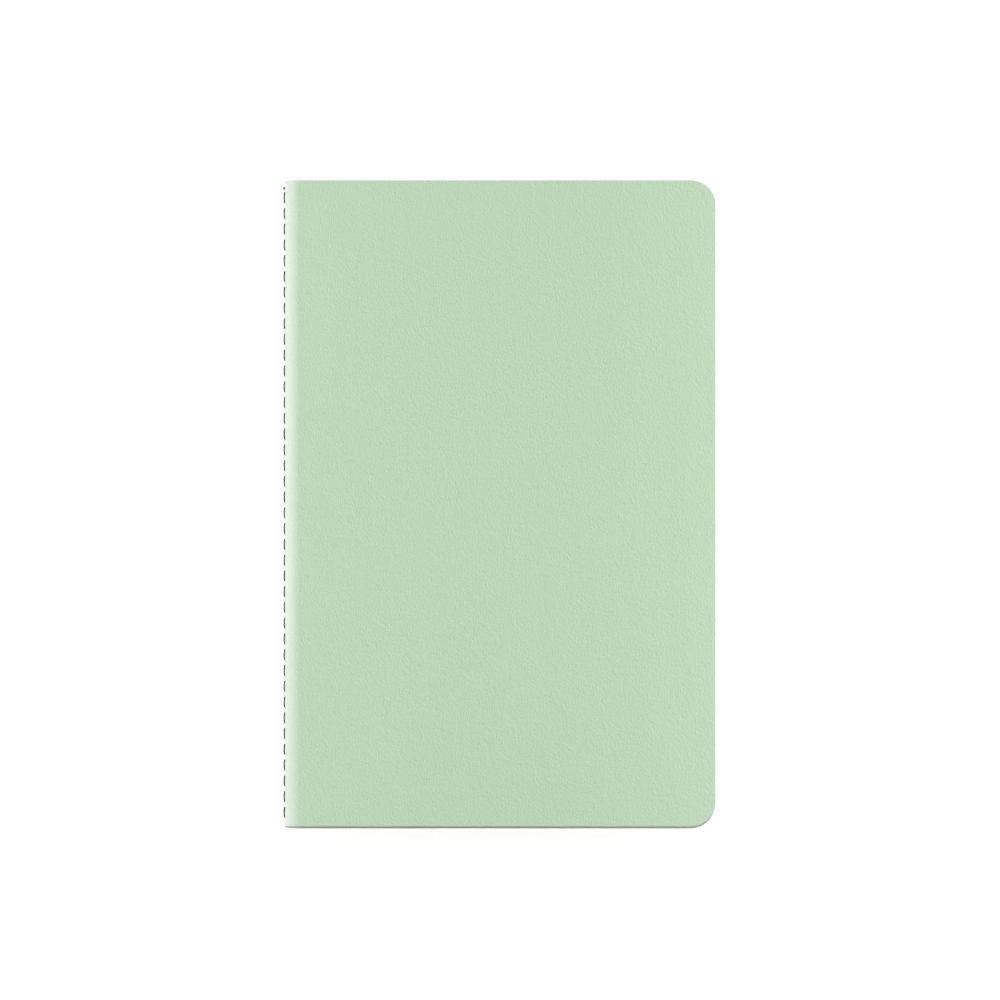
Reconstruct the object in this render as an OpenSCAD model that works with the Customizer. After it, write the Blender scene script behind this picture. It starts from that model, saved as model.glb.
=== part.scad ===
// Sewn notepad: one section of folded sheets in a wrap-round card cover, held by a running stitch
// through the fold. It lies closed on its back cover, with the spine at -X and the head at +Y.

/* [Cover] */
// Width from the outside of the spine to the fore-edge
cover_w = 140; // [90:1:210]
// Height from tail to head
cover_h = 210; // [120:1:230]
// Radius of the two trimmed corners at the fore-edge
corner_r = 8; // [2:0.5:20]
// Thickness of the cover card
card_t = 0.38; // [0.2:0.02:0.6]

/* [Paper] */
// Number of folded sheets, each giving a front and a back leaf
sheets = 20; // [4:1:26]
// Thickness of one leaf
paper_t = 0.12; // [0.08:0.01:0.2]
// Air between neighbouring leaves
paper_air = 0.01; // [0.005:0.005:0.03]

/* [Sewing] */
// Least distance from the head or tail to the sewing
sewing_margin = 2.3; // [2:0.1:12]
// Distance of the middle of the sewing from the middle of the spine, towards the head
sewing_shift = -0.48; // [-1:0.02:1]
// Distance between the starts of neighbouring stitches
stitch_pitch = 5.13; // [4.7:0.01:6.5]
// Distance between the two needle holes of one outside stitch
stitch_span = 3.28; // [2:0.02:3.4]
// Diameter of the thread
thread_d = 0.36; // [0.2:0.02:0.44]
// Radius of the thread's centre line where it turns into a needle hole
thread_bend = 0.25; // [0.2:0.01:0.3]
// Diameter of a needle hole in the card
hole_d = 0.46; // [0.38:0.02:0.52]
// Diameter of the starting knot at the head
knot_d = 0.7; // [0.5:0.02:0.8]
// Distance from the last needle hole at the head to the knot
knot_step = 1.42; // [0.7:0.01:1.8]
// Length of the cut end that lies in the fold at the tail
tail_len = 1.8; // [1:0.1:2.4]

/* [Hidden] */
$fn = 48;
thread_fn = 16;
card_air = 0.02;
thread_clear = 0.005;
fold_clear = 0.02;
paper_step = paper_t + paper_air;
// Inner radius of the innermost fold, which has to take the thread
fold_r = thread_d / 2 + fold_clear;
card_r = fold_r + sheets * paper_step + card_air;
spine_r = card_r + card_t;
pad_t = 2 * spine_r;
mid_z = spine_r;
// The knot sits in the mouth of its hole and fills this share of the hole's width there
knot_fill = 0.84;
knot_seat = sqrt(pow(knot_d / 2, 2) - pow(knot_fill * hole_d / 2, 2));
knot_proud = knot_seat + knot_d / 2;
fore_x = (cover_w + knot_proud) / 2;
fold_x = fore_x - cover_w + spine_r;
panel_w = fore_x - fold_x;
// Centre lines of the outside and inside stitches
out_x = fold_x - spine_r - thread_clear - thread_d / 2;
in_x = fold_x - fold_r + thread_clear + thread_d / 2;
stitches = floor((cover_h - 2 * sewing_margin) / stitch_pitch);
stitch_ys = [for (k = [0 : stitches - 1]) sewing_shift + (k - (stitches - 1) / 2) * stitch_pitch];
hole_ys = [for (y = stitch_ys) for (side = [-1, 1]) y + side * stitch_span / 2];
knot_y = hole_ys[len(hole_ys) - 1] + knot_step;
card_colour = [0.745, 0.843, 0.733];
paper_colour = [0.96, 0.945, 0.89];
thread_colour = [0.2, 0.19, 0.175];

function two_digits(n) = str(n < 10 ? "0" : "", n);
function leaf_name(i, half) = str("sheet_", two_digits(i), "_", half, "_leaf");
function leaf_r(i) = fold_r + (sheets - i) * paper_step;

FRONT_LEAVES = [for (i = [1 : sheets]) leaf_name(i, "front")];
BACK_LEAVES = [for (i = [1 : sheets]) leaf_name(i, "back")];

// Outline of a leaf or cover panel: square at the fold, rounded at the fore-edge
module panel_outline() {
    translate([fold_x, -cover_h / 2])
        square([panel_w - corner_r, cover_h]);
    translate([fore_x - corner_r, corner_r - cover_h / 2])
        square([corner_r, cover_h - 2 * corner_r]);
    for (side = [-1, 1])
        translate([fore_x - corner_r, side * (cover_h / 2 - corner_r)])
            circle(corner_r);
}

// Flat panel of thickness t whose lower face is at height z
module panel(z, t) {
    translate([0, 0, z])
        linear_extrude(t)
            panel_outline();
}

// Half ring along the spine that joins a front and a back panel
module fold_ring(r, t) {
    translate([fold_x, 0, mid_z])
        rotate([90, 0, 0])
            linear_extrude(cover_h, center = true)
                intersection() {
                    difference() {
                        circle(r + t);
                        circle(r);
                    }
                    translate([-r - t, -r - t])
                        square([r + t, 2 * (r + t)]);
                }
}

module needle_hole(y) {
    translate([out_x, y, mid_z])
        rotate([0, 90, 0])
            cylinder(h = spine_r + thread_d, d = hole_d);
}

module cover_front() {
    color(card_colour)
        panel(pad_t - card_t, card_t);
}

module cover_back() {
    color(card_colour)
        panel(0, card_t);
}

module cover_spine() {
    color(card_colour)
        difference() {
            fold_ring(card_r, card_t);
            for (y = concat(hole_ys, [knot_y]))
                needle_hole(y);
        }
}

module front_leaf(i) {
    color(paper_colour)
        panel(mid_z + leaf_r(i), paper_t);
}

module back_leaf(i) {
    color(paper_colour)
        panel(mid_z - leaf_r(i) - paper_t, paper_t);
}

module sheet_folds() {
    color(paper_colour)
        for (i = [1 : sheets])
            fold_ring(leaf_r(i), paper_t);
}

// Straight thread along the spine between two heights
module thread_run(x, y_low, y_high) {
    translate([x, y_low, mid_z])
        rotate([-90, 0, 0])
            cylinder(h = y_high - y_low, d = thread_d, $fn = thread_fn);
}

// Straight thread through the fold, between the bends at its two ends
module thread_leg(y) {
    translate([out_x + thread_bend, y, mid_z])
        rotate([0, 90, 0])
            cylinder(h = in_x - out_x - 2 * thread_bend, d = thread_d, $fn = thread_fn);
}

// Quarter turn of thread about a point, starting at the given angle
module thread_turn(x, y, angle) {
    translate([x, y, mid_z])
        rotate([0, 0, angle])
            rotate_extrude(angle = 90, $fn = thread_fn)
                translate([thread_bend, 0])
                    circle(d = thread_d, $fn = thread_fn);
}

// Stitch on the outside of the spine, from one needle hole to the next
module outside_stitch(y_low, y_high) {
    thread_run(out_x, y_low + thread_bend, y_high - thread_bend);
    thread_turn(out_x + thread_bend, y_high - thread_bend, 90);
    thread_turn(out_x + thread_bend, y_low + thread_bend, 180);
}

// Stitch inside the innermost fold, from one needle hole to the next
module inside_stitch(y_low, y_high) {
    thread_run(in_x, y_low + thread_bend, y_high - thread_bend);
    thread_turn(in_x - thread_bend, y_low + thread_bend, 270);
    thread_turn(in_x - thread_bend, y_high - thread_bend, 0);
}

// Cut end of the thread, lying in the fold below its first needle hole
module thread_tail(y) {
    thread_run(in_x, y - tail_len, y - thread_bend);
    thread_turn(in_x - thread_bend, y - thread_bend, 0);
}

// Knot at the head, with the short thread that leads out to it
module thread_knot() {
    inside_stitch(hole_ys[len(hole_ys) - 1], knot_y);
    thread_leg(knot_y);
    translate([fold_x - spine_r - knot_seat, knot_y, mid_z])
        sphere(d = knot_d, $fn = thread_fn);
    translate([fold_x - spine_r - knot_seat, knot_y, mid_z])
        rotate([0, 90, 0])
            cylinder(h = thread_bend + knot_seat, d = thread_d, $fn = thread_fn);
}

module sewing_thread() {
    color(thread_colour)
        union() {
            for (k = [0 : stitches - 1])
                outside_stitch(hole_ys[2 * k], hole_ys[2 * k + 1]);
            for (k = [1 : stitches - 1])
                inside_stitch(hole_ys[2 * k - 1], hole_ys[2 * k]);
            for (y = hole_ys)
                thread_leg(y);
            thread_tail(hole_ys[0]);
            thread_knot();
        }
}

cover_front();
cover_spine();
cover_back();
for (i = [1 : sheets]) {
    front_leaf(i);
    back_leaf(i);
}
sheet_folds();
sewing_thread();
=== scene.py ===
import math
from collections import namedtuple

import bmesh
import bpy
import numpy as np
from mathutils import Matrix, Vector


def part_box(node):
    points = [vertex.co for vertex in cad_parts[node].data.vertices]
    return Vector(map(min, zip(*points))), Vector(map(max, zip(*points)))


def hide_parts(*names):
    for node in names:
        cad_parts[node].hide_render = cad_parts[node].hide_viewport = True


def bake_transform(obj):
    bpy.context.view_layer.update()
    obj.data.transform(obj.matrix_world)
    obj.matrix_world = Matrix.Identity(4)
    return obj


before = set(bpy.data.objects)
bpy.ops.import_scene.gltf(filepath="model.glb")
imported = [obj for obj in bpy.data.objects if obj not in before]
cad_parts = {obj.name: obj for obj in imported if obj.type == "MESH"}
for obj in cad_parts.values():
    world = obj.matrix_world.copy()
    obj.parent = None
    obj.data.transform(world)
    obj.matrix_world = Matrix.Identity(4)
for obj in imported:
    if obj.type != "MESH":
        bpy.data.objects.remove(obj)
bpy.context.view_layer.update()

MM = 0.001
chance = np.random.default_rng(11)

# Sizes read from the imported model
back_low, back_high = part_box("cover_back")
spine_low, spine_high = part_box("cover_spine")
thread_low, thread_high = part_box("sewing_thread")
sheet_names = sorted(n.removesuffix("_front_leaf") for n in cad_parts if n.endswith("_front_leaf"))
inner_leaf_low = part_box(sheet_names[-1] + "_front_leaf")[0]
fold_x = back_low.x
fore_x = back_high.x
head_y = back_high.y
card_t = back_high.z - back_low.z
pad_t = spine_high.z - spine_low.z
mid_z = (spine_low.z + spine_high.z) / 2
spine_r = pad_t / 2
card_r = spine_r - card_t
fold_r = inner_leaf_low.z - mid_z
spine_x = fold_x - spine_r

# Sizes that the boxes of the nodes don't give
CORNER_R = 8 * MM
STITCHES = 40
STITCH_PITCH = 5.13 * MM
STITCH_SPAN = 3.28 * MM
THREAD_R = 0.18 * MM
THREAD_BEND = 0.25 * MM
THREAD_CLEAR = 0.005 * MM
HOLE_R = 0.23 * MM
KNOT_R = 0.35 * MM
TAIL_LEN = 1.8 * MM

# A pressed fold is this many times as long as a half round one
NOSE = 1.5
# Angle round the fold at which the spine goes over into the front panel
SEAM = math.acos((NOSE - 1) / NOSE) + math.radians(1)
SEAM_STRIP = math.radians(0.3)
CARD_BEVEL = 0.05 * MM
PAPER_BEVEL = 0.02 * MM
# The leaves settle towards the middle over this stretch from the fold, up to the gap that is left
SETTLE_FROM, SETTLE_TO = 4 * MM, 40 * MM
MIDDLE_GAP = 0.1 * MM
# Most that a leaf is trimmed short of the fore-edge
TRIM_PLAY = 0.05 * MM
CORNER_STEPS = 12
SHARP_EDGE = math.radians(30)
REST_PLACE = "rest_place"

Column = namedtuple("Column", "outer inner outer_rim inner_rim face_y rim_y")


# Card and paper

def fold_point(r, angle):
    """X and Z of a point on the pressed fold, at an angle up from the middle of the spine."""
    x = fold_x + r * (NOSE - 1) - NOSE * r * math.cos(angle)
    return x, mid_z + r * math.sin(angle)


def fold_columns(r_in, r_out, bevel, angles):
    """Columns round the fold, from the back over the spine to the front."""
    share = bevel / (r_out - r_in)
    columns = []
    for angle in angles:
        outer = fold_point(r_out, angle)
        inner = fold_point(r_in, angle)
        outer_rim = tuple(o + (i - o) * share for o, i in zip(outer, inner))
        inner_rim = tuple(i + (o - i) * share for o, i in zip(outer, inner))
        columns.append(Column(outer, inner, outer_rim, inner_rim, head_y - bevel, head_y))
    return columns


def settled(x):
    """How far the leaves have settled at x, from 0 near the fold to 1."""
    share = min(max((x - fold_x - SETTLE_FROM) / (SETTLE_TO - SETTLE_FROM), 0), 1)
    return share * share * (3 - 2 * share)


def flat_columns(r_in, r_out, bevel, side, starts, trim=0.0, settle=0.0):
    """Columns of a leaf or cover panel, from the fold out to its rounded fore-edge."""

    def column(face_x, rim_x, face_y, rim_y):
        low = settle * settled(face_x)
        outer_z = mid_z + side * (r_out - low)
        inner_z = mid_z + side * (r_in - low)
        outer_rim = (rim_x, outer_z - side * bevel)
        inner_rim = (rim_x, inner_z + side * bevel)
        return Column((face_x, outer_z), (face_x, inner_z), outer_rim, inner_rim, face_y, rim_y)

    columns = [column(x, x, head_y - bevel, head_y) for x in starts]
    corner_x = fore_x - trim - CORNER_R
    corner_y = head_y - CORNER_R
    for angle in np.linspace(0, math.pi / 2, CORNER_STEPS):
        across, up = math.sin(angle), math.cos(angle)
        face_r = CORNER_R - bevel
        columns.append(column(
            corner_x + face_r * across, corner_x + CORNER_R * across,
            corner_y + face_r * up, corner_y + CORNER_R * up,
        ))
    return columns


def layer(name, columns, rows, seam_first=False, seam_last=False):
    """A closed thin sheet over the columns. Its cut edges take the second material."""
    last_column, last_row = len(columns) - 1, rows - 1
    heights = np.linspace(-1, 1, rows)
    points = []
    faces = []

    def point(xz, y):
        points.append((xz[0], y, xz[1]))
        return len(points) - 1

    outer = [[point(c.outer, c.face_y * v) for v in heights] for c in columns]
    inner = [[point(c.inner, c.face_y * v) for v in heights] for c in columns]
    for j in range(last_column):
        for r in range(last_row):
            faces.append((outer[j][r], outer[j][r + 1], outer[j + 1][r + 1], outer[j + 1][r]))
            faces.append((inner[j][r], inner[j + 1][r], inner[j + 1][r + 1], inner[j][r + 1]))
    first_cut_face = len(faces)

    head = [(j, last_row) for j in range(last_column + 1)]
    tail = [(j, 0) for j in range(last_column, -1, -1)]
    far_edge = [(last_column, r) for r in range(last_row - 1, 0, -1)]
    near_edge = [(0, r) for r in range(1, last_row)]
    if seam_first:
        edge = head + far_edge + tail
    elif seam_last:
        edge = tail + near_edge + head
    else:
        edge = head + far_edge + tail + near_edge + head[:1]
    rim = {}
    for j, r in edge:
        if (j, r) not in rim:
            y = columns[j].rim_y * heights[r]
            rim[j, r] = (point(columns[j].outer_rim, y), point(columns[j].inner_rim, y))
    for (j, r), (k, s) in zip(edge, edge[1:]):
        here_out, here_in = rim[j, r]
        next_out, next_in = rim[k, s]
        faces.append((outer[j][r], here_out, next_out, outer[k][s]))
        faces.append((here_out, here_in, next_in, next_out))
        faces.append((here_in, inner[j][r], inner[k][s], next_in))
    for j, wanted in ((0, seam_first), (last_column, seam_last)):
        if wanted:
            for r in range(last_row):
                faces.append((outer[j][r], inner[j][r], inner[j][r + 1], outer[j][r + 1]))
            for r in (0, last_row):
                faces.append((outer[j][r], *rim[j, r], inner[j][r]))
    return made(name, points, faces, first_cut_face)


def made(name, points, faces, first_cut_face=None, sharp=SHARP_EDGE):
    """A piece with its faces turned outwards, which keeps each point's place at rest for its finish."""
    mesh = bpy.data.meshes.new(name)
    mesh.from_pydata([tuple(map(float, p)) for p in points], [], faces)
    if first_cut_face is not None:
        is_cut = np.arange(len(faces)) >= first_cut_face
        mesh.polygons.foreach_set("material_index", is_cut.astype(np.int32))
    shape = bmesh.new()
    shape.from_mesh(mesh)
    bmesh.ops.recalc_face_normals(shape, faces=shape.faces)
    shape.to_mesh(mesh)
    shape.free()
    mesh.polygons.foreach_set("use_smooth", np.ones(len(mesh.polygons), bool))
    mesh.set_sharp_from_angle(angle=sharp)
    places = np.zeros(3 * len(mesh.vertices), np.float32)
    mesh.vertices.foreach_get("co", places)
    mesh.attributes.new(REST_PLACE, "FLOAT_VECTOR", "POINT").data.foreach_set("vector", places)
    piece = bpy.data.objects.new(name, mesh)
    bpy.context.scene.collection.objects.link(piece)
    return piece


# Thread

out_x = spine_x - THREAD_CLEAR - THREAD_R
in_x = fold_x - fold_r + THREAD_CLEAR + THREAD_R
first_hole_y = thread_low.y + TAIL_LEN
hole_ys = [first_hole_y + k * STITCH_PITCH + end for k in range(STITCHES) for end in (0, STITCH_SPAN)]
sewing_y = (hole_ys[0] + hole_ys[-1]) / 2
knot_x = thread_low.x + KNOT_R
knot_y = thread_high.y - KNOT_R
SHOWN_STEP, HIDDEN_STEP = 0.07 * MM, 0.8 * MM
BEND_STEPS = 6
# How far a stitch stands off the spine at its middle
STITCH_BOW = 0.105 * MM
# Loose fibres make the thread look this many times as thick
FLUFF = 1.24
STRANDS = 3
STRAND_DEPTH = 0.08
TWIST_STEP = 0.95 * MM
KNOT_THREAD_R = 0.2 * MM
KNOT_STEPS = 90
THREAD_SHARP = math.radians(80)


def run(path, goal, step, bow=0.0):
    """Carries the path on to the goal, standing off the spine by bow at its middle."""
    start = np.array(path[-1])
    goal = np.array(goal)
    count = max(2, round(float(np.linalg.norm(goal - start)) / step))
    for share in np.linspace(0, 1, count + 1)[1:]:
        off = bow * (1 - (2 * share - 1) ** 4)
        path.append(tuple(start + (goal - start) * share - np.array([off, 0, 0])))


def turn(path, x, y, first, last):
    """Carries the path on round a quarter turn about x, y between two angles."""
    for angle in np.radians(np.linspace(first, last, BEND_STEPS + 1))[1:]:
        path.append((x + THREAD_BEND * math.cos(angle), y + THREAD_BEND * math.sin(angle), mid_z))


def running_stitch():
    """Path of the thread from its cut end at the tail, in and out of the fold, up to the knot."""
    b = THREAD_BEND
    path = [(in_x, hole_ys[0] - TAIL_LEN, mid_z)]
    for y_out, y_in in zip(hole_ys[0::2], hole_ys[1::2]):
        run(path, (in_x, y_out - b, mid_z), SHOWN_STEP)
        turn(path, in_x - b, y_out - b, 0, 90)
        run(path, (out_x + b, y_out, mid_z), HIDDEN_STEP)
        turn(path, out_x + b, y_out + b, 270, 180)
        run(path, (out_x, y_in - b, mid_z), SHOWN_STEP, STITCH_BOW)
        turn(path, out_x + b, y_in - b, 180, 90)
        run(path, (in_x - b, y_in, mid_z), HIDDEN_STEP)
        turn(path, in_x - b, y_in + b, 270, 360)
    run(path, (in_x, knot_y - b, mid_z), SHOWN_STEP)
    turn(path, in_x - b, knot_y - b, 0, 90)
    run(path, (knot_x, knot_y, mid_z), HIDDEN_STEP)
    return path


def overhand_knot():
    """Path of the knot: a three-lobed loop that lies against the spine."""
    lobe = (KNOT_R - KNOT_THREAD_R) / 3
    path = []
    for t in np.linspace(0, 2 * math.pi, KNOT_STEPS + 1):
        path.append((
            knot_x - 3 * lobe * math.sin(3 * t),
            knot_y + lobe * (math.sin(t) + 2 * math.sin(2 * t)),
            mid_z + lobe * (math.cos(t) - 2 * math.cos(2 * t)),
        ))
    return path


def thread_along(path, radius, sides):
    """Points and faces of a thread of twisted strands along a path, with both ends closed."""
    path = np.array(path, float)
    along = np.gradient(path, axis=0)
    along /= np.linalg.norm(along, axis=1)[:, None]
    gone = np.concatenate([[0], np.cumsum(np.linalg.norm(np.diff(path, axis=0), axis=1))])
    side = np.cross(along, (0, 0, 1))
    side /= np.linalg.norm(side, axis=1)[:, None]
    over = np.cross(side, along)
    around = np.linspace(0, 2 * math.pi, sides, endpoint=False)
    points = []
    for k, place in enumerate(path):
        twist = 2 * math.pi * gone[k] / TWIST_STEP
        reach = radius * (1 - STRAND_DEPTH * (1 - np.cos(STRANDS * (around - twist))) / 2)
        sideways = np.outer(reach * np.cos(around), side[k])
        upwards = np.outer(reach * np.sin(around), over[k])
        points.extend(place + sideways + upwards)
    faces = []
    for k in range(len(path) - 1):
        for s in range(sides):
            nxt = (s + 1) % sides
            faces.append((k * sides + s, k * sides + nxt, (k + 1) * sides + nxt, (k + 1) * sides + s))
    faces.append(tuple(range(sides)))
    faces.append(tuple((len(path) - 1) * sides + s for s in range(sides)))
    return points, faces


# Finishes

COLOUR, NUMBER, DIRECTION = "NodeSocketColor", "NodeSocketFloat", "NodeSocketVector"
PALE = (0.8, 0.8, 0.8, 1)
GRAIN_ROUGHNESS = 0.6
# The three ways that the fibres lie: how far each is turned, with its detail
FIBRE_LIES = ((0.0, 2.0), (0.5, 1.0), (-0.4, 1.0))
# Painted light and shade of raised fibres: each fibre is painted pale on one side and dark on the
# other, this many widths and lengths away
FIBRE_SHADE = (1.2, 0.25, 0)
STREAK_SIZE = (1.4 * MM, 80 * MM, 1.4 * MM)
CLOUD_SIZE = (14 * MM, 22 * MM, 14 * MM)
# Flecks sit in cells of this size, reach this far in them and miss this share of them
FLECK_STEP = 3.2 * MM
FLECK_REACH = (0.09, 0.03)
FLECKS_LEFT_OUT = 0.55
GLOSS_PLAY = 0.08
# Painted shade in the needle holes, which are not cut in the card
HOLE_SHADE_TONE = (0.06, 0.07, 0.055, 1)
HOLE_RIM = 1.35
GROOVE_REACH = 0.7 * MM


def node(tree, kind, **settings):
    new = tree.nodes.new(kind)
    for key, value in settings.items():
        setattr(new, key, value)
    return new


def feed(tree, socket, value):
    """Sets a socket to a plain value, or links it to another socket."""
    if isinstance(value, bpy.types.NodeSocket):
        tree.links.new(value, socket)
    else:
        socket.default_value = value


def maths(tree, operation, *values):
    step = node(tree, "ShaderNodeMath", operation=operation)
    for socket, value in zip(step.inputs, values):
        feed(tree, socket, value)
    return step.outputs[0]


def total(tree, *values):
    result = values[0]
    for value in values[1:]:
        result = maths(tree, "ADD", result, value)
    return result


def ramp(tree, value, start, end):
    """A smooth ramp from 0 where the value is start to 1 where it is end."""
    step = node(tree, "ShaderNodeMapRange", interpolation_type="SMOOTHSTEP")
    feed(tree, step.inputs["Value"], value)
    feed(tree, step.inputs["From Min"], start)
    feed(tree, step.inputs["From Max"], end)
    return step.outputs[0]


def mixed(tree, share, first, second):
    step = node(tree, "ShaderNodeMix", data_type="RGBA")
    feed(tree, step.inputs["Factor"], share)
    feed(tree, step.inputs["A"], first)
    feed(tree, step.inputs["B"], second)
    return step.outputs["Result"]


def rest_place(tree):
    """Where a point of the piece is at rest, so that the finish doesn't slide as the pad opens."""
    return node(tree, "ShaderNodeAttribute", attribute_name=REST_PLACE).outputs["Vector"]


def grain(tree, place, size, detail=1.0, spin=0.0):
    """Noise about 0, with cells of the given size, turned about Z."""
    turned = node(tree, "ShaderNodeVectorRotate", rotation_type="Z_AXIS")
    feed(tree, turned.inputs["Vector"], place)
    feed(tree, turned.inputs["Angle"], spin)
    scaled = node(tree, "ShaderNodeVectorMath", operation="DIVIDE")
    feed(tree, scaled.inputs[0], turned.outputs[0])
    feed(tree, scaled.inputs[1], size)
    noise = node(tree, "ShaderNodeTexNoise")
    feed(tree, noise.inputs["Vector"], scaled.outputs[0])
    feed(tree, noise.inputs["Scale"], 1.0)
    feed(tree, noise.inputs["Detail"], detail)
    feed(tree, noise.inputs["Roughness"], GRAIN_ROUGHNESS)
    return maths(tree, "SUBTRACT", noise.outputs[0], 0.5)


def group(name, inputs, outputs):
    """An empty shared effect with its sockets, and the two ends that it is wired between."""
    tree = bpy.data.node_groups.new(name, "ShaderNodeTree")
    for label, kind, value in inputs:
        tree.interface.new_socket(label, in_out="INPUT", socket_type=kind).default_value = value
    for label, kind in outputs:
        tree.interface.new_socket(label, in_out="OUTPUT", socket_type=kind)
    return tree, node(tree, "NodeGroupInput").outputs, node(tree, "NodeGroupOutput").inputs


def fibre_group():
    """Pressed fibres: painted light and shade of raised fibres, with streaks, flecks and clouds on a
    tone, and their gloss and relief.
    """
    tree, given, result = group(
        "fibres_with_painted_shade",
        [
            ("Tone", COLOUR, PALE),
            ("Fibre Width", NUMBER, 0.35 * MM),
            ("Fibre Length", NUMBER, 0.9 * MM),
            ("Mottle", NUMBER, 0.03),
            ("Streaks", NUMBER, 0.0),
            ("Flecks", NUMBER, 0.0),
            ("Clouds", NUMBER, 0.0),
            ("Roughness", NUMBER, 0.8),
            ("Relief", NUMBER, 0.02 * MM),
            ("Dent", NUMBER, 0.0),
        ],
        [("Colour", COLOUR), ("Roughness", NUMBER), ("Normal", DIRECTION)],
    )
    place = rest_place(tree)
    size = node(tree, "ShaderNodeCombineXYZ")
    for axis, label in (("X", "Fibre Width"), ("Y", "Fibre Length"), ("Z", "Fibre Width")):
        feed(tree, size.inputs[axis], given[label])

    def laid(at):
        lies = [grain(tree, at, size.outputs[0], detail, spin) for spin, detail in FIBRE_LIES]
        return total(tree, *lies)

    fibres = laid(place)
    beside = node(tree, "ShaderNodeVectorMath", operation="MULTIPLY_ADD")
    for socket, value in zip(beside.inputs, (size.outputs[0], FIBRE_SHADE, place)):
        feed(tree, socket, value)
    # Painted light and shade of raised fibres, as light from one side would show them
    shade = maths(tree, "SUBTRACT", fibres, laid(beside.outputs[0]))
    streak = maths(tree, "MULTIPLY", grain(tree, place, STREAK_SIZE), given["Streaks"])
    cloud = maths(tree, "MULTIPLY", grain(tree, place, CLOUD_SIZE), given["Clouds"])
    cells = node(tree, "ShaderNodeTexVoronoi")
    feed(tree, cells.inputs["Scale"], 1 / FLECK_STEP)
    feed(tree, cells.inputs["Vector"], place)
    picked = node(tree, "ShaderNodeSeparateColor")
    feed(tree, picked.inputs[0], cells.outputs["Color"])
    chosen = maths(tree, "GREATER_THAN", picked.outputs[0], FLECKS_LEFT_OUT)
    spot = ramp(tree, cells.outputs["Distance"], *FLECK_REACH)
    fleck = maths(tree, "MULTIPLY", maths(tree, "MULTIPLY", spot, chosen), given["Flecks"])
    mottle = maths(tree, "MULTIPLY", shade, given["Mottle"])
    toned = node(tree, "ShaderNodeVectorMath", operation="SCALE")
    feed(tree, toned.inputs[0], given["Tone"])
    feed(tree, toned.inputs["Scale"], total(tree, mottle, streak, cloud, fleck, 1.0))
    feed(tree, result["Colour"], toned.outputs[0])
    feed(tree, result["Roughness"], maths(tree, "MULTIPLY_ADD", fibres, GLOSS_PLAY, given["Roughness"]))
    height = maths(tree, "MULTIPLY_ADD", fibres, given["Relief"], given["Dent"])
    bump = node(tree, "ShaderNodeBump")
    feed(tree, bump.inputs["Distance"], 1.0)
    feed(tree, bump.inputs["Height"], height)
    feed(tree, result["Normal"], bump.outputs[0])
    return tree


def rub_and_highlight_group():
    """Towards the outside of the fold the card is painted paler as a highlight, and rubbed smoother,
    with less relief and less painted fibre shade.
    """
    tree, given, result = group(
        "fold_rub_and_highlight",
        [
            ("Tone", COLOUR, PALE),
            ("Worn Tone", COLOUR, PALE),
            ("Mottle", NUMBER, 0.3),
            ("Worn Mottle", NUMBER, 0.1),
            ("Relief", NUMBER, 0.1 * MM),
            ("Worn Relief", NUMBER, 0.02 * MM),
            ("Sound At", NUMBER, 0.0),
            ("Worn At", NUMBER, -3 * MM),
        ],
        [("Tone", COLOUR), ("Mottle", NUMBER), ("Relief", NUMBER)],
    )
    place = node(tree, "ShaderNodeSeparateXYZ")
    feed(tree, place.inputs[0], rest_place(tree))
    outer_fold = ramp(tree, place.outputs["X"], given["Sound At"], given["Worn At"])
    # Painted highlight: the tone turns paler towards the outside of the fold
    feed(tree, result["Tone"], mixed(tree, outer_fold, given["Tone"], given["Worn Tone"]))
    for label in ("Mottle", "Relief"):
        change = maths(tree, "SUBTRACT", given["Worn " + label], given[label])
        feed(tree, result[label], maths(tree, "MULTIPLY_ADD", outer_fold, change, given[label]))
    return tree


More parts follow.
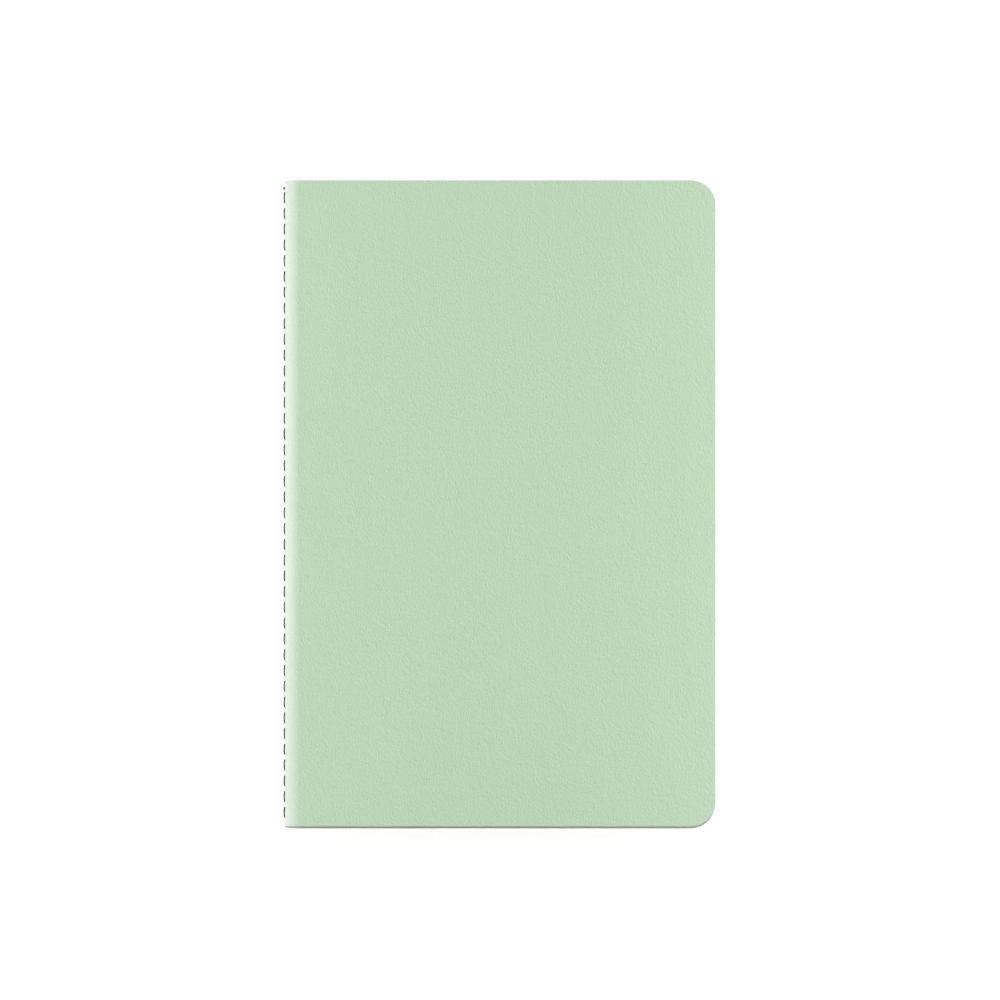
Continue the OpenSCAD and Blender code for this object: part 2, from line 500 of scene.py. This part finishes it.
def needle_group():
    """Marks of the sewing on the spine: painted shade in the needle holes, and card drawn in under the
    stitches.
    """
    tree, given, result = group(
        "needle_marks",
        [
            ("Tone", COLOUR, PALE),
            ("Pitch", NUMBER, 5 * MM),
            ("Span", NUMBER, 3 * MM),
            ("Half Run", NUMBER, 100 * MM),
            ("Run Middle", NUMBER, 0.0),
            ("Fold", NUMBER, 0.0),
            ("Fold Middle", NUMBER, 3 * MM),
            ("Hole Radius", NUMBER, 0.2 * MM),
            ("Groove", NUMBER, 0.05 * MM),
        ],
        [("Tone", COLOUR), ("Dent", NUMBER)],
    )
    place = node(tree, "ShaderNodeSeparateXYZ")
    feed(tree, place.inputs[0], rest_place(tree))
    along = maths(tree, "SUBTRACT", place.outputs["Y"], given["Run Middle"])
    across = maths(tree, "SUBTRACT", place.outputs["Z"], given["Fold Middle"])
    across_squared = maths(tree, "MULTIPLY", across, across)
    half_pitch = maths(tree, "MULTIPLY", given["Pitch"], 0.5)
    from_gap = maths(tree, "PINGPONG", along, half_pitch)
    from_stitch = maths(tree, "SUBTRACT", half_pitch, from_gap)
    past_hole = maths(tree, "MULTIPLY_ADD", given["Span"], -0.5, from_stitch)
    past_end = maths(tree, "MAXIMUM", past_hole, 0.0)
    to_hole = maths(tree, "SQRT", maths(tree, "MULTIPLY_ADD", past_hole, past_hole, across_squared))
    to_thread = maths(tree, "SQRT", maths(tree, "MULTIPLY_ADD", past_end, past_end, across_squared))
    on_spine = maths(tree, "LESS_THAN", place.outputs["X"], given["Fold"])
    in_run = maths(tree, "LESS_THAN", maths(tree, "ABSOLUTE", along), given["Half Run"])
    sewn = maths(tree, "MULTIPLY", on_spine, in_run)
    rim = maths(tree, "MULTIPLY", given["Hole Radius"], HOLE_RIM)
    # Painted shade in each needle hole
    hole = maths(tree, "MULTIPLY", ramp(tree, to_hole, rim, given["Hole Radius"]), sewn)
    feed(tree, result["Tone"], mixed(tree, hole, given["Tone"], HOLE_SHADE_TONE))
    drawn = ramp(tree, to_thread, GROOVE_REACH, 0.0)
    depth = maths(tree, "MULTIPLY", maths(tree, "MULTIPLY", drawn, sewn), given["Groove"])
    feed(tree, result["Dent"], maths(tree, "MULTIPLY", depth, -1.0))
    return tree


fibres_with_painted_shade = fibre_group()
fold_rub_and_highlight = rub_and_highlight_group()
needle_marks = needle_group()


def placed(tree, shared, **values):
    """A shared effect placed in a material with its own values."""
    effect = node(tree, "ShaderNodeGroup", node_tree=shared)
    for label, value in values.items():
        feed(tree, effect.inputs[label.replace("_", " ").title()], value)
    return effect


def fibre_finish(name, tone, shine=0.5, **values):
    """A material of pressed or spun fibres, with its fibre effect and its shader."""
    material = bpy.data.materials.new(name)
    material.use_nodes = True
    tree = material.node_tree
    shader = tree.nodes["Principled BSDF"]
    effect = placed(tree, fibres_with_painted_shade, tone=(*tone, 1), **values)
    feed(tree, shader.inputs["Base Color"], effect.outputs["Colour"])
    feed(tree, shader.inputs["Roughness"], effect.outputs["Roughness"])
    feed(tree, shader.inputs["Normal"], effect.outputs["Normal"])
    shader.inputs["Specular IOR Level"].default_value = shine
    return material, effect, shader


CARD_TONE = (0.492, 0.655, 0.471)
# Painted highlight on the outside of the fold, paler and less green than the card
CARD_HIGHLIGHT_TONE = (0.554, 0.64, 0.541)
# Painted light and shade of raised fibres on the card, less of it on the rubbed fold, and the fibres'
# relief, less of it there too
CARD_PAINTED_SHADE = 0.26
WORN_CARD_PAINTED_SHADE = CARD_PAINTED_SHADE / 3
CARD_RELIEF = 0.1 * MM
WORN_CARD_RELIEF = CARD_RELIEF / 5
# The painted highlight and the rubbing start this far in from the fold, and are full this far out
RUB_AND_HIGHLIGHT_FROM, RUB_AND_HIGHLIGHT_TO = 2.0 * MM, 1.2 * MM
PAPER_TONE = (0.80, 0.77, 0.69)
# Tone of a cut edge beside its face
CUT_CARD_SHARE, CUT_PAPER_SHARE = 1.06, 0.97
THREAD_TONE = (0.022, 0.0195, 0.0075)


def mint_card():
    material, effect, shader = fibre_finish(
        "mint_card", CARD_TONE, shine=0.45, fibre_width=0.3 * MM, fibre_length=0.8 * MM,
        streaks=0.02, flecks=0.06, clouds=0.02, roughness=0.8,
    )
    tree = material.node_tree
    # The outside of the fold gets a painted highlight and is rubbed smoother
    rub_and_highlight = placed(
        tree, fold_rub_and_highlight, tone=(*CARD_TONE, 1), worn_tone=(*CARD_HIGHLIGHT_TONE, 1),
        mottle=CARD_PAINTED_SHADE, worn_mottle=WORN_CARD_PAINTED_SHADE,
        relief=CARD_RELIEF, worn_relief=WORN_CARD_RELIEF,
        sound_at=fold_x + RUB_AND_HIGHLIGHT_FROM, worn_at=fold_x - RUB_AND_HIGHLIGHT_TO,
    )
    marks = placed(
        tree, needle_marks, tone=rub_and_highlight.outputs["Tone"], pitch=STITCH_PITCH, span=STITCH_SPAN,
        half_run=STITCHES * STITCH_PITCH / 2, run_middle=sewing_y, fold=fold_x, fold_middle=mid_z,
        hole_radius=HOLE_R,
    )
    feed(tree, effect.inputs["Tone"], marks.outputs["Tone"])
    feed(tree, effect.inputs["Mottle"], rub_and_highlight.outputs["Mottle"])
    feed(tree, effect.inputs["Relief"], rub_and_highlight.outputs["Relief"])
    feed(tree, effect.inputs["Dent"], marks.outputs["Dent"])
    shader.inputs["Sheen Weight"].default_value = 0.1
    shader.inputs["Sheen Roughness"].default_value = 0.45
    return material


def cut_card():
    tone = tuple(c * CUT_CARD_SHARE for c in CARD_TONE)
    return fibre_finish(
        "mint_card_cut", tone, fibre_width=0.12 * MM, fibre_length=0.3 * MM, mottle=0.14,
        roughness=0.8, relief=0.01 * MM,
    )[0]


def ivory_paper():
    return fibre_finish(
        "ivory_paper", PAPER_TONE, fibre_width=0.3 * MM, fibre_length=0.5 * MM, mottle=0.035,
        flecks=0.02, clouds=0.02, roughness=0.7, relief=0.008 * MM,
    )[0]


def cut_paper():
    tone = tuple(c * CUT_PAPER_SHARE for c in PAPER_TONE)
    return fibre_finish(
        "ivory_paper_cut", tone, fibre_width=0.08 * MM, fibre_length=0.6 * MM, mottle=0.21,
        roughness=0.8, relief=0.008 * MM,
    )[0]


def charcoal_thread():
    return fibre_finish(
        "charcoal_thread", THREAD_TONE, shine=0.15, fibre_width=0.05 * MM, fibre_length=0.12 * MM,
        mottle=0.56, roughness=0.7, relief=0.01 * MM,
    )[0]


# Pieces

SHEET_ROWS = 13
COVER_ROWS = 41
FOLD_STEPS = 29
SPINE_STEPS = 40
BEND_COLUMNS = 18
THREAD_SIDES = 12
# Columns of points across a leaf, in mm from the fold
LEAF_COLUMNS = (4, 8, 16, 24, 32, 40, 64, 96, 120)
half_turn = np.linspace(-math.pi / 2, math.pi / 2, FOLD_STEPS)
leaf_starts = [fold_x + d * MM for d in LEAF_COLUMNS]
card_finishes = (mint_card(), cut_card())
paper_finishes = (ivory_paper(), cut_paper())


def dressed(piece, finishes, slot_name, *nodes):
    """Gives a piece its finishes and hides the nodes that it stands for. The slot name is not used."""
    for finish in finishes:
        piece.data.materials.append(finish)
    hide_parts(*nodes)


# Folded sheets, outermost first, which settle by uneven steps that add up to the gap in the middle
steps = chance.exponential(1.0, len(sheet_names) - 1)
shares = np.concatenate([[0], np.cumsum(steps)]) / steps.sum()
for name, share in zip(sheet_names, shares):
    low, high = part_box(name + "_front_leaf")
    r_in, r_out = low.z - mid_z, high.z - mid_z
    settle = (fold_r - MIDDLE_GAP / 2) * share
    trim = chance.uniform(0, TRIM_PLAY)
    back, front = (
        flat_columns(r_in, r_out, PAPER_BEVEL, side, leaf_starts, trim, settle) for side in (-1, 1)
    )
    round_fold = fold_columns(r_in, r_out, PAPER_BEVEL, half_turn)
    sheet = layer(name, back[::-1] + round_fold + front, SHEET_ROWS)
    replaced = [name + "_front_leaf", name + "_back_leaf"]
    if name == sheet_names[0]:
        replaced.append("sheet_folds")
    dressed(sheet, paper_finishes, "writing_paper", *replaced)
    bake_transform(sheet)

# Card of the back and the spine
spine_angles = np.append(np.linspace(-math.pi / 2, SEAM - SEAM_STRIP, SPINE_STEPS), SEAM)
wrap = layer(
    "cover_wrap",
    flat_columns(card_r, spine_r, CARD_BEVEL, -1, leaf_starts)[::-1]
    + fold_columns(card_r, spine_r, CARD_BEVEL, spine_angles),
    COVER_ROWS, seam_last=True,
)
dressed(wrap, card_finishes, "cover_card", "cover_back", "cover_spine")
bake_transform(wrap)

# Card of the front, which bends along the fold
front_angles = np.insert(np.linspace(SEAM + SEAM_STRIP, math.pi / 2, BEND_COLUMNS), 0, SEAM)
front_panel = layer(
    "cover_front_panel",
    fold_columns(card_r, spine_r, CARD_BEVEL, front_angles)
    + flat_columns(card_r, spine_r, CARD_BEVEL, 1, leaf_starts),
    COVER_ROWS, seam_first=True,
)
dressed(front_panel, card_finishes, "cover_card", "cover_front")
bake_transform(front_panel)

# Sewing: the running stitch and its knot
run_points, run_faces = thread_along(running_stitch(), FLUFF * THREAD_R, THREAD_SIDES)
knot_points, knot_faces = thread_along(overhand_knot(), KNOT_THREAD_R, THREAD_SIDES)
knot_faces = [tuple(i + len(run_points) for i in face) for face in knot_faces]
sewing = made("sewing", run_points + knot_points, run_faces + knot_faces, sharp=THREAD_SHARP)
dressed(sewing, (charcoal_thread(),), "thread", "sewing_thread")
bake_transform(sewing)


# Floor and light

FLOOR_HALF = 0.8
# Glow beside the pad and further off, and where it grows, counted in half sizes of the pad
NEAR_GLOW, FAR_GLOW = 0.06, 0.27
GLOW_FROM, GLOW_TO = 1.0, 1.2
FLOOR_WHITE = (0.95, 0.95, 0.95, 1)
FLOOR_Z = -0.02 * MM
FILL_LIGHT = 0.1
ROOM_WHITE = (1, 1, 1, 1)


def white_floor():
    """White that keeps shadows. Only the camera sees its glow, which grows away from the pad."""
    material = bpy.data.materials.new("white_floor")
    material.use_nodes = True
    tree = material.node_tree
    tree.nodes.clear()
    diffuse = node(tree, "ShaderNodeBsdfDiffuse")
    feed(tree, diffuse.inputs["Color"], FLOOR_WHITE)
    place = node(tree, "ShaderNodeSeparateXYZ")
    feed(tree, place.inputs[0], node(tree, "ShaderNodeTexCoord").outputs["Object"])
    across = maths(tree, "DIVIDE", maths(tree, "ABSOLUTE", place.outputs["X"]), fore_x)
    along = maths(tree, "DIVIDE", maths(tree, "ABSOLUTE", place.outputs["Y"]), head_y)
    far = ramp(tree, maths(tree, "MAXIMUM", across, along), GLOW_FROM, GLOW_TO)
    strength = maths(tree, "MULTIPLY_ADD", far, FAR_GLOW - NEAR_GLOW, NEAR_GLOW)
    path = node(tree, "ShaderNodeLightPath")
    glow = node(tree, "ShaderNodeEmission")
    seen = maths(tree, "MULTIPLY", path.outputs["Is Camera Ray"], strength)
    feed(tree, glow.inputs["Strength"], seen)
    both = node(tree, "ShaderNodeAddShader")
    feed(tree, both.inputs[0], diffuse.outputs[0])
    feed(tree, both.inputs[1], glow.outputs[0])
    feed(tree, node(tree, "ShaderNodeOutputMaterial").inputs["Surface"], both.outputs[0])
    return material


def white_room():
    """A dim white room that looks white to the camera, in gloss and through glass."""
    world = bpy.data.worlds.new("white_room")
    world.use_nodes = True
    tree = world.node_tree
    tree.nodes.clear()
    seen = node(tree, "ShaderNodeBackground")
    feed(tree, seen.inputs["Color"], ROOM_WHITE)
    fill = node(tree, "ShaderNodeBackground")
    feed(tree, fill.inputs["Color"], ROOM_WHITE)
    feed(tree, fill.inputs["Strength"], FILL_LIGHT)
    path = node(tree, "ShaderNodeLightPath").outputs
    looked_at = maths(tree, "MAXIMUM", path["Is Camera Ray"], path["Is Glossy Ray"])
    looked_at = maths(tree, "MAXIMUM", looked_at, path["Is Transmission Ray"])
    pick = node(tree, "ShaderNodeMixShader")
    feed(tree, pick.inputs[0], looked_at)
    feed(tree, pick.inputs[1], fill.outputs[0])
    feed(tree, pick.inputs[2], seen.outputs[0])
    feed(tree, node(tree, "ShaderNodeOutputWorld").inputs["Surface"], pick.outputs[0])
    return world


def softbox(name, place, width, height, share):
    """A soft lamp aimed at the middle of the cover, which gives that share of the light on it."""
    away = Vector(place) - Vector((0, 0, pad_t))
    lamp = bpy.data.lights.new(name, "AREA")
    lamp.shape = "RECTANGLE"
    lamp.size = width
    lamp.size_y = height
    lamp.energy = math.pi ** 2 * share * away.length ** 3 / away.z
    stand = bpy.data.objects.new(name, lamp)
    stand.location = place
    stand.rotation_mode = "QUATERNION"
    stand.rotation_quaternion = (-away).to_track_quat("-Z", "Y")
    stand.visible_camera = False
    bpy.context.scene.collection.objects.link(stand)


corners = [(x * FLOOR_HALF, y * FLOOR_HALF, FLOOR_Z) for x, y in ((-1, -1), (1, -1), (1, 1), (-1, 1))]
floor_mesh = bpy.data.meshes.new("floor")
floor_mesh.from_pydata(corners, [], [(0, 1, 2, 3)])
floor_mesh.materials.append(white_floor())
floor = bpy.data.objects.new("floor", floor_mesh)
bpy.context.scene.collection.objects.link(floor)
bpy.context.scene.world = white_room()
softbox("key_over_head", place=(0.03, 0.5, 4.0), width=0.12, height=0.12, share=0.737)
softbox("fill_from_spine", place=(-0.45, 0.03, 0.2), width=0.4, height=0.1, share=0.082)
softbox("side_by_spine", place=(-0.7, 0.03, 0.08), width=0.4, height=0.1, share=0.05)
softbox("strip_by_fore_edge", place=(0.13, 0.0, 0.04), width=0.3, height=0.02, share=0.0626)


# Camera, straight above the cover

PHOTO_PX = 1000
MM_PER_PX = 0.325
LENS, SENSOR = 250.0, 36.0
COVER_MIDDLE_PX = (500.15, 503.3)
px = MM_PER_PX * MM
camera = bpy.data.objects.new("camera", bpy.data.cameras.new("camera"))
camera.data.lens = LENS
camera.data.sensor_width = SENSOR
camera.location = (
    (spine_x + fore_x) / 2 - (COVER_MIDDLE_PX[0] - PHOTO_PX / 2) * px,
    (COVER_MIDDLE_PX[1] - PHOTO_PX / 2) * px,
    pad_t + PHOTO_PX * px * LENS / SENSOR,
)
bpy.context.scene.collection.objects.link(camera)
bpy.context.scene.camera = camera
bpy.context.scene.view_settings.view_transform = "Standard"
